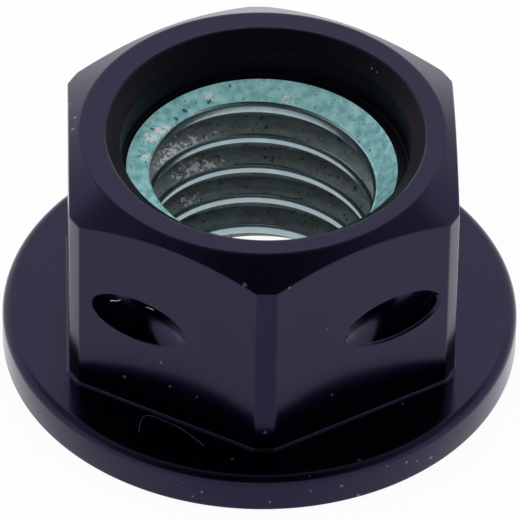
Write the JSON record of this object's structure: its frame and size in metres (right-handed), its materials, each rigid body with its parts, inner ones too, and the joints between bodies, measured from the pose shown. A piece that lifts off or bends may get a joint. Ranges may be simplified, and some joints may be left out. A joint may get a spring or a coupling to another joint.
{
  "type": "sprocket nut",
  "caption": "Flanged hexagon nut with a recessed thread mouth, a turned crown and holes drilled across alternate corners for locking wire.",
  "frame": {"origin": "centre of the thread on the flange's bearing face", "axes": "+Z along the thread from the bearing face to the crown; one corner of the hexagon points along -Y"},
  "size_m": [0.016, 0.016, 0.0084],
  "materials": {
    "nut": "glossy black anodised, with a dull teal finish in the thread and its countersink"
  },
  "bodies": {
    "root": {"sprocket_nut": "nut"}
  },
  "joints": []
}
